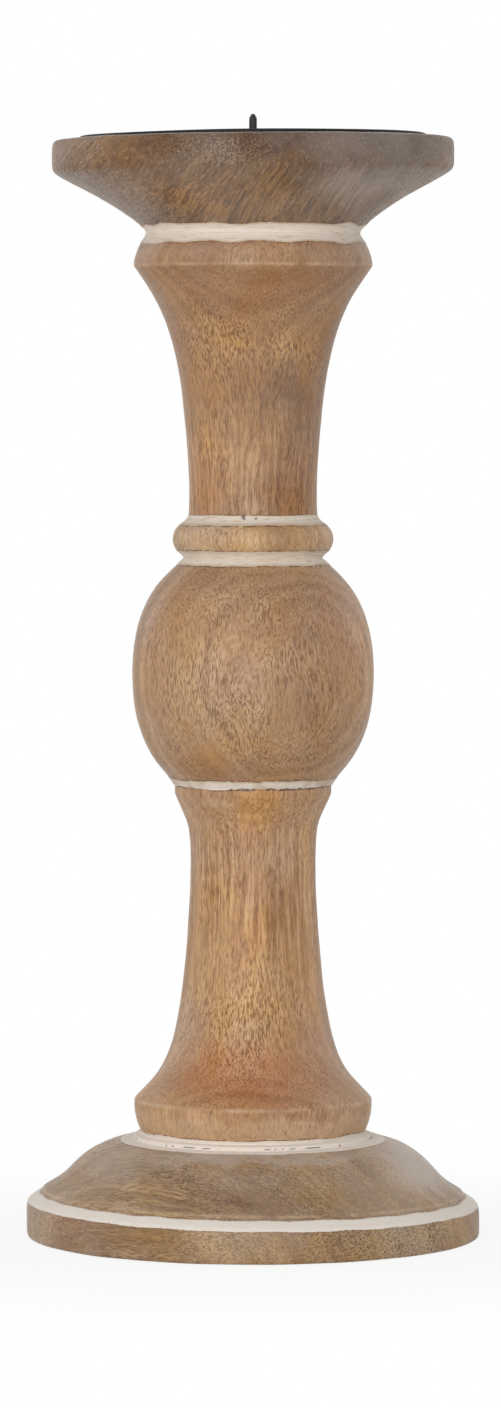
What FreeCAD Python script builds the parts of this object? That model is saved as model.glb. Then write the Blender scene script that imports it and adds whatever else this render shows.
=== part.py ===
import FreeCAD, Part
import math
import os

# Pricket candle stand. Five turned wooden sections are stacked on a thin felt: base, lower
# column, ball, bead ring and upper column, with a dished cap on top. Spigots, a long dowel
# and a wood screw hold the stack. A pressed steel drip pan lies loose in the cap's recess,
# round a headed steel pricket that is trapped between the cap and the upper column.
#
# Millimetres, +Z up. The origin is the centre of the felt's underside, so Z is the height
# above the table. Every section is a half outline in radius and height, turned about Z.
# A table of shares lists (share of the height, share of the radius) for one turned curve.

# The foot, the ball and the upper head are all turned from one size of blank.
blank_radius = 32.3
foot_turned_off = 0.5
upper_head_turned_off = 0.4

# Felt in a shallow recess under the base, which it stands a little below.
felt_thickness = 1.0
felt_proud = 0.2
felt_inset = 8.0
felt_clearance = 0.3

# Base: an upright rim, a sloping ledge, a small step and an ogee dome.
base_radius = 60.7
base_rim_height = 8.85
base_edge = 1.0
ledge_width = 3.9
ledge_rise = 2.45
dome_step_height = 1.0
dome_step_inset = 0.5
dome_rise = 13.9
seat_margin = 2.0
dome_shares = [
    (0.122, 0.871), (0.252, 0.760), (0.489, 0.629), (0.705, 0.482), (0.863, 0.302), (0.971, 0.089),
]

# Lower column: a foot collar, a groove, a cushion, a long flare and a head.
foot_collar_height = 1.1
foot_groove_depth = 2.2
foot_groove_height = 0.4
foot_cushion_height = 9.3
foot_cushion_share = 0.42
foot_bulge_share = 0.82
lower_waist_radius = 16.7
lower_flare_height = 62.8
lower_flare_shares = [
    (0.041, 0.838), (0.092, 0.634), (0.172, 0.430), (0.298, 0.267),
    (0.451, 0.159), (0.656, 0.070), (0.861, 0.015),
]
head_radius = 20.9
head_flare_height = 19.1
head_flare_shares = [(0.392, 0.045), (0.570, 0.165), (0.742, 0.475), (0.914, 0.855)]
head_band_height = 2.4

# Ball: an oval of two halves on one dowel.
ball_lower_height = 29.5
ball_upper_height = 30.9
ball_overhang = 0.3
ball_lower_shares = [(0.080, 0.150), (0.188, 0.400), (0.352, 0.667), (0.560, 0.865), (0.790, 0.972)]
ball_upper_shares = [(0.209, 0.975), (0.418, 0.894), (0.631, 0.716), (0.788, 0.489), (0.892, 0.270)]

# Bead ring: a half-round bead over a groove, with a hollow shoulder above it.
neck_radius = 17.0
bead_groove_height = 1.1
bead_height = 8.0
bead_bulge = 2.4
bead_shoulder_height = 2.2
bead_shoulder_width = 2.2
bead_underside_width = 0.9
shoulder_hollow_share = 0.38

# Upper column: a long flare to a crisp corner, then a cushion that turns into a groove.
upper_flare_height = 66.5
upper_foot_flare = 0.15
upper_flare_shares = [
    (0.080, 0.000), (0.290, 0.044), (0.430, 0.100), (0.576, 0.188),
    (0.720, 0.336), (0.815, 0.490), (0.895, 0.680), (0.955, 0.860),
]
upper_cushion_height = 8.3
upper_cushion_share = 0.47
upper_bulge_share = 0.77
cap_groove_depth = 3.9

# Cap: a hollow flare up to an upright rim, with a shallow recess for the pan.
cap_radius = 53.55
cap_flare_height = 16.95
cap_flare_shares = [
    (0.060, 0.018), (0.130, 0.066), (0.200, 0.119), (0.313, 0.216),
    (0.437, 0.337), (0.566, 0.475), (0.690, 0.625), (0.879, 0.861),
]
cap_rim_height = 8.55
cap_edge = 1.7
cap_corner_setback = 1.1
recess_depth = 3.5
recess_corner = 1.0

# Drip pan: pressed sheet with a leaning wall that stands a little proud of the wood.
pan_margin = 7.45
pan_clearance = 0.5
pan_sheet = 0.8
pan_proud = 0.9
pan_wall_lean = 1.1
pan_press_radius = 1.4
pan_hole_clearance = 0.4

# Pricket: a headed steel pin with a thick shank in the wood and a thin spike above the pan.
pricket_head_radius = 3.4
pricket_head_height = 1.0
pricket_shank_radius = 1.35
pricket_shoulder_rise = 0.3
spike_radius = 1.05
spike_height = 7.8
spike_point_height = 1.1
spike_tip_radius = 0.4

# Joints inside the stand.
fit_clearance = 0.1
socket_end_clearance = 0.4
lower_spigot_radius = 10.0
lower_spigot_length = 13.0
upper_spigot_radius = 9.0
upper_spigot_length = 10.0
spigot_chamfer = 0.8
dowel_radius = 7.0
dowel_bite = 22.0
dowel_chamfer = 1.2
dowel_flute_radius = 0.5
dowel_flute_count = 12

# Base screw with its washer, in a counterbore under the base.
screw_length = 45.0
screw_core_radius = 1.6
screw_thread_depth = 0.75
screw_pitch = 2.4
screw_plain_length = 9.0
screw_point_length = 5.0
screw_head_radius = 4.6
screw_head_height = 2.8
screw_slot_width = 1.2
screw_slot_depth = 1.3
washer_radius = 8.0
washer_thickness = 1.2
counterbore_clearance = 1.0
head_clearance = 0.5

# How far a cutting shape runs past the face that it opens.
overrun = 1.0

# Levels, from the table up.
base_bottom = felt_proud
ledge_bottom = base_bottom + base_rim_height
ledge_top = ledge_bottom + ledge_rise
dome_bottom = ledge_top + dome_step_height
base_top = dome_bottom + dome_rise
foot_groove_bottom = base_top + foot_collar_height
foot_cushion_bottom = foot_groove_bottom + foot_groove_height
foot_corner = foot_cushion_bottom + foot_cushion_height
lower_waist = foot_corner + lower_flare_height
head_band_bottom = lower_waist + head_flare_height
ball_bottom = head_band_bottom + head_band_height
ball_middle = ball_bottom + ball_lower_height
ball_top = ball_middle + ball_upper_height
bead_bottom = ball_top + bead_groove_height
bead_top = bead_bottom + bead_height
ring_top = bead_top + bead_shoulder_height
upper_corner = ring_top + upper_flare_height
cap_bottom = upper_corner + upper_cushion_height
cap_rim_bottom = cap_bottom + cap_flare_height
cap_top = cap_rim_bottom + cap_rim_height
recess_floor = cap_top - recess_depth
pan_floor = recess_floor + pan_sheet
pan_rim = cap_top + pan_proud
pricket_shoulder = pan_floor + pricket_shoulder_rise
spike_point = pricket_shoulder + spike_height
pricket_tip = spike_point + spike_point_height

# Radii that follow from the ones above.
ball_radius = blank_radius
foot_radius = blank_radius - foot_turned_off
upper_head_radius = blank_radius - upper_head_turned_off
felt_radius = base_radius - felt_inset
dome_step_radius = base_radius - ledge_width
dome_radius = dome_step_radius - dome_step_inset
seat_radius = foot_radius + seat_margin
foot_groove_radius = foot_radius - foot_groove_depth
ball_foot_radius = head_radius + ball_overhang
bead_edge_radius = neck_radius + bead_shoulder_width
bead_groove_radius = bead_edge_radius - bead_underside_width
upper_foot_radius = neck_radius + upper_foot_flare
cap_foot_radius = upper_head_radius - cap_groove_depth
pan_radius = cap_radius - pan_margin
recess_radius = pan_radius + pan_clearance
dowel_bottom = ball_bottom - dowel_bite
dowel_top = ring_top + dowel_bite
spigot_socket_floor = base_top - lower_spigot_length - socket_end_clearance
washer_seat = felt_thickness + head_clearance + screw_head_height + washer_thickness
pricket_head_top = cap_bottom + upper_spigot_length + socket_end_clearance + pricket_head_height

axis_foot = FreeCAD.Vector(0, 0, 0)
axis_way = FreeCAD.Vector(0, 0, 1)
full_turn = 360


def spot(radius, height):
    """A point of a half outline."""
    return FreeCAD.Vector(radius, 0, height)


class Outline:
    """A half outline, drawn from spot to spot and turned about the axis."""

    def __init__(self, radius, height):
        self.start = spot(radius, height)
        self.here = self.start
        self.edges = []

    def line(self, radius, height):
        there = spot(radius, height)
        self.edges.append(Part.makeLine(self.here, there))
        self.here = there
        return self

    def arc(self, via, there):
        """An arc through via, both (radius, height)."""
        self.edges.append(Part.Arc(self.here, spot(*via), spot(*there)).toShape())
        self.here = spot(*there)
        return self

    def curve(self, spots):
        """A smooth curve from here through the spots, each (radius, height)."""
        points = [self.here] + [spot(*each) for each in spots]
        line = Part.BSplineCurve()
        line.interpolate(points)
        self.edges.append(line.toShape())
        self.here = points[-1]
        return self

    def soft_corner(self, corner, beyond, setback):
        """A line to near the corner, then an arc onto the way that leads beyond it."""
        corner = spot(*corner)
        back = (self.here - corner).normalize()
        on = (spot(*beyond) - corner).normalize()
        first = corner + back * setback
        last = corner + on * setback
        half_angle = back.getAngle(on) / 2
        bisector = (back + on).normalize()
        to_middle = setback / math.cos(half_angle) - setback * math.tan(half_angle)
        middle = corner + bisector * to_middle
        self.line(first.x, first.z)
        self.edges.append(Part.Arc(first, middle, last).toShape())
        self.here = last
        return self

    def turned(self):
        """The solid of the outline, which is closed back to its start."""
        if (self.here - self.start).Length > 0:
            self.edges.append(Part.makeLine(self.here, self.start))
        face = Part.Face(Part.Wire(self.edges))
        return face.revolve(axis_foot, axis_way, full_turn)


def between(low, high, shares):
    """Spots of a turned curve: low and high are (radius, height) where the shares are 0 and 1."""
    (low_radius, low_height), (high_radius, high_height) = low, high
    return [
        (
            low_radius + (high_radius - low_radius) * radius_share,
            low_height + (high_height - low_height) * height_share,
        )
        for height_share, radius_share in shares
    ]


def flipped(shares):
    """The same shares with the radius share counted from the other end."""
    return [(height_share, 1 - radius_share) for height_share, radius_share in shares]


def rod(radius, bottom, top):
    """A plain cylinder on the axis."""
    return Part.makeCylinder(radius, top - bottom, spot(0, bottom), axis_way)


def chamfered_rod(radius, bottom, top, chamfer):
    """A cylinder on the axis with both ends chamfered."""
    outline = Outline(0, bottom).line(radius - chamfer, bottom)
    outline.line(radius, bottom + chamfer).line(radius, top - chamfer)
    return outline.line(radius - chamfer, top).line(0, top).turned()


def felt_disc():
    """The self-adhesive felt that the stand rests on."""
    return rod(felt_radius, 0, felt_thickness)


def base():
    """The base, with a blind socket above, and below it the felt's recess and a counterbore."""
    outline = Outline(0, base_bottom)
    outline.soft_corner((base_radius, base_bottom), (base_radius, ledge_bottom), base_edge)
    outline.soft_corner((base_radius, ledge_bottom), (dome_step_radius, ledge_top), base_edge)
    outline.line(dome_step_radius, ledge_top).line(dome_radius, dome_bottom)
    foot = (dome_radius, dome_bottom)
    crown = (seat_radius, base_top)
    outline.curve(between(foot, crown, flipped(dome_shares)) + [crown])
    solid = outline.line(0, base_top).turned()
    socket = rod(lower_spigot_radius + fit_clearance, spigot_socket_floor, base_top + overrun)
    felt_recess = rod(felt_radius + felt_clearance, base_bottom - overrun, felt_thickness)
    counterbore = rod(washer_radius + counterbore_clearance, base_bottom - overrun, washer_seat)
    screw_hole = rod(screw_hole_radius(), washer_seat - overrun, spigot_socket_floor + overrun)
    return solid.cut(socket).cut(felt_recess).cut(counterbore).cut(screw_hole)


def screw_hole_radius():
    """The bore that clears the screw's thread."""
    return screw_core_radius + screw_thread_depth + fit_clearance


def base_washer():
    """The steel washer that spreads the screw's pull."""
    disc = rod(washer_radius, washer_seat - washer_thickness, washer_seat)
    return disc.cut(rod(screw_hole_radius(), felt_thickness, washer_seat + overrun))


def base_screw():
    """The wood screw through the base: domed head with crossed slots, plain shank, thread, point."""
    head_top = washer_seat - washer_thickness
    head_bottom = head_top - screw_head_height
    full_radius = screw_core_radius + screw_thread_depth
    thread_start = head_top + screw_plain_length
    point_start = head_top + screw_length - screw_point_length
    turns = int((point_start - thread_start) / screw_pitch)
    dome_share = math.sqrt(0.5)
    outline = Outline(0, head_bottom)
    dome_via = (screw_head_radius * dome_share, head_top - screw_head_height * dome_share)
    outline.arc(dome_via, (screw_head_radius, head_top))
    outline.line(full_radius, head_top).line(full_radius, thread_start)
    outline.line(screw_core_radius, thread_start)
    for turn in range(turns):
        crest = thread_start + (turn + 0.5) * screw_pitch
        outline.line(full_radius, crest).line(screw_core_radius, crest + screw_pitch / 2)
    outline.line(screw_core_radius, point_start).line(0, head_top + screw_length)
    solid = outline.turned()
    slot_length = screw_head_radius
    for along, across in ((slot_length, screw_slot_width), (screw_slot_width, slot_length)):
        corner = FreeCAD.Vector(-along / 2, -across / 2, head_bottom - overrun)
        solid = solid.cut(Part.makeBox(along, across, overrun + screw_slot_depth, corner))
    return solid


def lower_column():
    """The lower column: spigot, collar, groove, cushion, flare and head in one turning."""
    spigot_bottom = base_top - lower_spigot_length
    outline = Outline(0, spigot_bottom).line(lower_spigot_radius - spigot_chamfer, spigot_bottom)
    outline.line(lower_spigot_radius, spigot_bottom + spigot_chamfer)
    outline.line(lower_spigot_radius, base_top).line(foot_radius, base_top)
    outline.line(foot_radius, foot_groove_bottom).line(foot_groove_radius, foot_cushion_bottom)
    cushion_low = (foot_groove_radius, foot_cushion_bottom)
    cushion_high = (foot_radius, foot_corner)
    cushion_via = between(cushion_low, cushion_high, [(foot_cushion_share, foot_bulge_share)])[0]
    outline.arc(cushion_via, cushion_high)
    waist = (lower_waist_radius, lower_waist)
    head = (head_radius, head_band_bottom)
    flare = between(waist, head, head_flare_shares)
    foot = between(cushion_high, waist, flipped(lower_flare_shares))
    outline.curve(foot + [waist] + flare + [head])
    outline.line(head_radius, ball_bottom).line(0, ball_bottom)
    solid = outline.turned()
    dowel_socket = rod(
        dowel_radius + fit_clearance, dowel_bottom - socket_end_clearance, ball_bottom + overrun
    )
    screw_end = washer_seat - washer_thickness + screw_length + socket_end_clearance
    return solid.cut(dowel_socket).cut(rod(screw_hole_radius(), spigot_bottom - overrun, screw_end))


def ball():
    """The ball, bored through for the dowel."""
    outline = Outline(0, ball_bottom).line(ball_foot_radius, ball_bottom)
    middle = (ball_radius, ball_middle)
    top = (bead_groove_radius, ball_top)
    lower = between((ball_foot_radius, ball_bottom), middle, ball_lower_shares)
    upper = between(middle, top, flipped(ball_upper_shares))
    outline.curve(lower + [middle] + upper + [top])
    solid = outline.line(0, ball_top).turned()
    return solid.cut(dowel_bore(ball_bottom, ball_top))


def dowel_bore(bottom, top):
    """A through bore for the dowel."""
    return rod(dowel_radius + fit_clearance, bottom - overrun, top + overrun)


def bead_ring():
    """The bead ring between the ball and the upper column."""
    outline = Outline(0, ball_top).line(bead_groove_radius, ball_top)
    outline.line(bead_edge_radius, bead_bottom)
    bulge = (bead_edge_radius + bead_bulge, (bead_bottom + bead_top) / 2)
    outline.arc(bulge, (bead_edge_radius, bead_top))
    shoulder_low = (bead_edge_radius, bead_top)
    shoulder_high = (upper_foot_radius, ring_top)
    hollow = [(shoulder_hollow_share, 1 - shoulder_hollow_share)]
    outline.arc(between(shoulder_low, shoulder_high, hollow)[0], shoulder_high)
    solid = outline.line(0, ring_top).turned()
    return solid.cut(dowel_bore(ball_top, ring_top))


def ball_dowel():
    """The fluted beech dowel that threads the ball and the bead ring."""
    solid = chamfered_rod(dowel_radius, dowel_bottom, dowel_top, dowel_chamfer)
    for count in range(dowel_flute_count):
        angle = math.radians(full_turn * count / dowel_flute_count)
        foot = FreeCAD.Vector(
            dowel_radius * math.cos(angle), dowel_radius * math.sin(angle), dowel_bottom - overrun
        )
        length = dowel_top - dowel_bottom + overrun * 2
        solid = solid.cut(Part.makeCylinder(dowel_flute_radius, length, foot, axis_way))
    return solid


def upper_column():
    """The upper column: a flare, a crisp corner, a cushion and the spigot for the cap."""
    foot = (upper_foot_radius, ring_top)
    corner = (upper_head_radius, upper_corner)
    outline = Outline(0, ring_top).line(*foot)
    outline.curve(between((neck_radius, ring_top), corner, upper_flare_shares) + [corner])
    groove = (cap_foot_radius, cap_bottom)
    cushion_shares = [(upper_cushion_share, 1 - upper_bulge_share)]
    outline.arc(between(corner, groove, cushion_shares)[0], groove)
    spigot_top = cap_bottom + upper_spigot_length
    outline.line(upper_spigot_radius, cap_bottom)
    outline.line(upper_spigot_radius, spigot_top - spigot_chamfer)
    outline.line(upper_spigot_radius - spigot_chamfer, spigot_top).line(0, spigot_top)
    socket_bottom = ring_top - overrun
    socket_top = dowel_top + socket_end_clearance
    return outline.turned().cut(rod(dowel_radius + fit_clearance, socket_bottom, socket_top))


def candle_cap():
    """The cap: spigot socket and pricket seat below, shallow pan recess above."""
    foot = (cap_foot_radius, cap_bottom)
    corner = (cap_radius, cap_rim_bottom)
    outline = Outline(0, cap_bottom).line(*foot)
    outline.curve(between(foot, corner, cap_flare_shares))
    outline.soft_corner(corner, (cap_radius, cap_top), cap_corner_setback)
    outline.soft_corner((cap_radius, cap_top), (0, cap_top), cap_edge)
    outline.line(recess_radius, cap_top).line(recess_radius, recess_floor + recess_corner)
    outline.line(recess_radius - recess_corner, recess_floor).line(0, recess_floor)
    solid = outline.turned()
    socket_top = cap_bottom + upper_spigot_length + socket_end_clearance
    socket = rod(upper_spigot_radius + fit_clearance, cap_bottom - overrun, socket_top)
    head_seat = rod(pricket_head_radius + fit_clearance, cap_bottom, pricket_head_top)
    hole = rod(pricket_shank_radius + fit_clearance / 2, cap_bottom, cap_top)
    return solid.cut(socket).cut(head_seat).cut(hole)


def drip_pan():
    """The pressed pan: flat floor, leaning wall, rounded lip and a hole for the pricket."""
    hole_radius = pricket_shank_radius + pan_hole_clearance
    floor_radius = pan_radius - pan_wall_lean
    lip = pan_sheet / 2
    outline = Outline(hole_radius, recess_floor)
    wall_top = (pan_radius, pan_rim - lip)
    outline.soft_corner((floor_radius, recess_floor), wall_top, pan_press_radius)
    outline.line(*wall_top)
    outline.arc((pan_radius - lip, pan_rim), (pan_radius - pan_sheet, pan_rim - lip))
    inner_setback = pan_press_radius - pan_sheet / 2
    inner_corner = (floor_radius - pan_sheet, pan_floor)
    outline.soft_corner(inner_corner, (hole_radius, pan_floor), inner_setback)
    return outline.line(hole_radius, pan_floor).turned()


def pricket():
    """The pricket: flat head, shank through the cap and the pan, spike with a blunt point."""
    outline = Outline(0, pricket_head_top - pricket_head_height)
    outline.line(pricket_head_radius, pricket_head_top - pricket_head_height)
    outline.line(pricket_head_radius, pricket_head_top)
    outline.line(pricket_shank_radius, pricket_head_top)
    outline.line(pricket_shank_radius, pricket_shoulder).line(spike_radius, pricket_shoulder)
    outline.line(spike_radius, spike_point).line(spike_tip_radius, pricket_tip)
    return outline.line(0, pricket_tip).turned()


def main():
    os.makedirs("parts", exist_ok=True)
    makers = (
        felt_disc, base, base_screw, base_washer, lower_column, ball_dowel,
        ball, bead_ring, upper_column, candle_cap, drip_pan, pricket,
    )
    for maker in makers:
        shape = maker()
        name = maker.__name__
        shape.exportStep(f"parts/{name}.step")
        box = shape.BoundBox
        print(
            f"{name}: solids {len(shape.Solids)}, valid {shape.isValid()}, "
            f"volume {shape.Volume:.0f} mm3, radius {box.XMax:.2f}, "
            f"height {box.ZMin:.2f} to {box.ZMax:.2f}"
        )


main()
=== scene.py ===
"""Dresses a turned candle stand: limewashed wood, a loose black drip pan, a spike and a felt."""
import math
import random
from typing import NamedTuple

import bmesh
import bpy
from bpy.props import FloatProperty, FloatVectorProperty, IntProperty, PointerProperty
from bpy.types import Operator, Panel, PropertyGroup
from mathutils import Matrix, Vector, noise


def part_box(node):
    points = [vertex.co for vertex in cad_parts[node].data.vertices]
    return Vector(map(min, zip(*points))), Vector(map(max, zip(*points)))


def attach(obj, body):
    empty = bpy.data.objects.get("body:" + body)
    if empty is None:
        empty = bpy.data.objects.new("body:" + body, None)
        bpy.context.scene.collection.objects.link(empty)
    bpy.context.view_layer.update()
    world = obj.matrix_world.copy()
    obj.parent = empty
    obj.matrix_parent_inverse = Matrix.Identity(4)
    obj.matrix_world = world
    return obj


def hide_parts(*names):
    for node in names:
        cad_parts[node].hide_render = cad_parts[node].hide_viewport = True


bl_info = {
    "name": "Pricket Candle Stand",
    "version": (1, 0, 0),
    "blender": (4, 5, 0),
    "location": "3D View > Sidebar > Candle Stand",
    "description": "Turns and finishes the wood of a candle stand, its drip pan and its spike",
    "category": "Object",
}

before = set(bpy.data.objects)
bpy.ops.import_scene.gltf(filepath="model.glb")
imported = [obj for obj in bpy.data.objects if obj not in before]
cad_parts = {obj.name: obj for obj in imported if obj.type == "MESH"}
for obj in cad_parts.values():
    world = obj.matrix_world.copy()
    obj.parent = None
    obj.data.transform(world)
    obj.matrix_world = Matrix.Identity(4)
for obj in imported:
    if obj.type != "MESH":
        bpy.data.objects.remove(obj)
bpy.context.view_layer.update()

MM = 0.001
WELD = 0.0005 * MM
FULL_TURN = math.tau
SECTORS = 16
ORIGIN = Vector((0, 0, 0))
UP = Vector((0, 0, 1))

# An outline bends more than this at a corner, and at a corner that is painted pale when it is bare,
# partly as wear and partly as a painted highlight along the edge.
CORNER = math.radians(13)
WEAR_AND_HIGHLIGHT_CORNER = math.radians(28)
CURVE_ROUNDS = 12
EDGE_ROUNDS = 2

# Heights of the seams between the wooden sections, from the frame.
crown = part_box("base")[1].z
ball_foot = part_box("ball")[0].z
ball_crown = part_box("ball")[1].z
ring_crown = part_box("bead_ring")[1].z
cap_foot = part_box("candle_cap")[0].z
cap_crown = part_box("candle_cap")[1].z
foot_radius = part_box("lower_column")[1].x
pan_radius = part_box("drip_pan")[1].x

# Radii at the seams, and the radii inside which a section never shows.
ball_foot_radius = 21.2 * MM
neck_radius = 17.2 * MM
cap_foot_radius = 28 * MM
column_core = 11 * MM
ball_core = 12 * MM
cap_core = 27 * MM
base_core = foot_radius - 0.6 * MM
felt_edge = 58 * MM
recess_floor = cap_crown - 4 * MM


def clamped(share):
    return min(1, max(0, share))


def radius_of(place):
    """The distance of a place from the turning axis."""
    return math.hypot(place.x, place.y)


def size_property(name, description, millimetres):
    return FloatProperty(
        name=name, description=description, default=millimetres * MM, min=0, precision=5,
        unit="LENGTH",
    )


def angle_property(name, description, degrees):
    return FloatProperty(
        name=name, description=description, default=math.radians(degrees), unit="ROTATION"
    )


def colour_property(name, description, red, green, blue, most=1):
    return FloatVectorProperty(
        name=name, description=description, default=(red, green, blue), size=3, min=0, max=most,
        subtype="COLOR",
    )


def tint_property(name, description, red, green, blue):
    """A colour that another one is multiplied by, so it may be brighter than white."""
    return colour_property(name, description, red, green, blue, most=2)


class CandleStandTurning(PropertyGroup):
    """How finely the sections are turned, and how uneven the hand leaves them."""

    steps: IntProperty(
        name="Steps", description="Sixteenths of the steps round a column", default=19, min=4
    )
    wide_steps: IntProperty(
        name="Wide steps", description="Sixteenths of the steps round the base and the cap",
        default=32, min=4,
    )
    ring_step: size_property("Ring step", "Distance between the rings of a section", 0.95)
    fine_step: size_property("Fine step", "Distance between the rings in a groove", 0.3)
    hidden_step: size_property("Hidden step", "Distance between rings that never show", 4)
    sanding_depth: size_property("Sanding depth", "Depth of the waves that sanding leaves", 0.1)
    sanding_length: size_property("Sanding length", "Length of the waves of sanding", 9)
    tool_depth: size_property("Tool depth", "Depth of the rings that the tool leaves", 0.02)
    tool_pitch: size_property("Tool pitch", "Pitch of the rings that the tool leaves", 1.5)
    paste_thickness: size_property("Paste thickness", "Paste left in the grooves", 0.17)
    bridge_width: size_property("Bridge width", "How far paste evens out a groove's seam", 1.5)
    bridge_depth: size_property("Bridge depth", "Depth of the paste over a groove's seam", 0.45)
    # How far the pale edge of a bare corner reaches: partly wear, partly a painted edge highlight.
    wear_and_highlight_width: size_property("Worn width", "How far the wear of a corner reaches", 0.8)
    crease: angle_property("Crease", "Edges bent more than this are shaded as sharp", 50)
    cap_lean: angle_property("Cap lean", "How far the cap's rim leans off level", 0.5)
    ledge_lean: angle_property("Ledge lean", "How far the base's ledge leans off level", 0.7)


class CandleStandWood(PropertyGroup):
    """Colours of the limewashed wood, and the tints that its soft patches take."""

    # Also the colour of the dark line along the paste's edges, partly grime and partly painted shade.
    pore: colour_property("Pore", "Dark open pores", 0.13, 0.064, 0.028)
    brown: colour_property("Brown", "Dark figure of the columns", 0.27, 0.145, 0.068)
    tan: colour_property("Tan", "Middle tone of the columns", 0.46, 0.29, 0.16)
    pale: colour_property("Pale", "Light figure of the columns", 0.66, 0.485, 0.33)
    soot: colour_property("Soot", "Dark grain of the cap and base", 0.11, 0.07, 0.042)
    umber: colour_property("Umber", "Dark figure of the cap and base", 0.20, 0.13, 0.08)
    dun: colour_property("Dun", "Middle tone of the cap and base", 0.32, 0.22, 0.14)
    straw: colour_property("Straw", "Light figure of the cap and base", 0.50, 0.38, 0.26)
    lime: colour_property("Lime", "Lime left in the pores and as a veil", 0.58, 0.50, 0.43)
    paste: colour_property("Paste", "Pale paste in the grooves", 0.85, 0.78, 0.70)
    stained: colour_property("Stained", "Paste that took up dirt", 0.60, 0.48, 0.36)
    gap: colour_property("Gap", "Cracks and pinholes in the paste", 0.07, 0.05, 0.045)
    mauve: colour_property("Mauve", "Smooth dull patch of the wood", 0.135, 0.095, 0.072)
    cool: tint_property("Cool", "Tint of the greyer parts of the wood", 0.96, 0.98, 1.13)
    warm: tint_property("Warm", "Tint of the yellower parts of the wood", 1.05, 1.0, 0.83)
    golden: tint_property("Golden", "Tint of a golden patch", 1.12, 1.02, 0.74)
    red: tint_property("Red", "Tint of a reddish patch", 1.0, 0.78, 0.6)
    dark: tint_property("Dark", "Tint of a dark patch", 0.74, 0.66, 0.6)
    # Also tints the painted highlights and the painted reflections at the silhouettes.
    light: tint_property("Light", "Tint of a light patch", 1.28, 1.25, 1.2)
    # Also tints painted pinkish reflections at the silhouettes.
    rosy: tint_property("Rosy", "Tint of a greyish pink patch", 1.06, 1.0, 1.06)


class CandleStandMetal(PropertyGroup):
    """Colours of the metal and of the felt."""

    pan: colour_property("Pan", "Black paint of the drip pan", 0.012, 0.012, 0.013)
    pricket: colour_property("Pricket", "Blackened steel", 0.022, 0.021, 0.02)
    zinc: colour_property("Zinc", "Zinc plate of the screw and washer", 0.55, 0.55, 0.56)
    beech: colour_property("Beech", "Wood of the dowel", 0.56, 0.40, 0.25)
    felt: colour_property("Felt", "Wool felt under the base", 0.10, 0.065, 0.045)


class CandleStandStudio(PropertyGroup):
    """Camera and lights."""

    distance: size_property("Distance", "Camera to the turning axis", 1745)
    eye: size_property("Eye", "Height of the camera above the table", 231.7)
    aim: size_property("Aim", "Height that the camera looks at", 142.83)
    side: FloatProperty(name="Side", description="Camera to the left of the axis", default=0.67 * MM)
    picture: size_property("Picture", "Height of the picture at the axis", 376.25)
    daylight: FloatProperty(name="Daylight", description="Strength of the light all round", default=0.5)
    key: FloatProperty(name="Key", description="Power of the front softbox", default=18)
    fill: FloatProperty(name="Fill", description="Power of each rear softbox", default=3)


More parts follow.
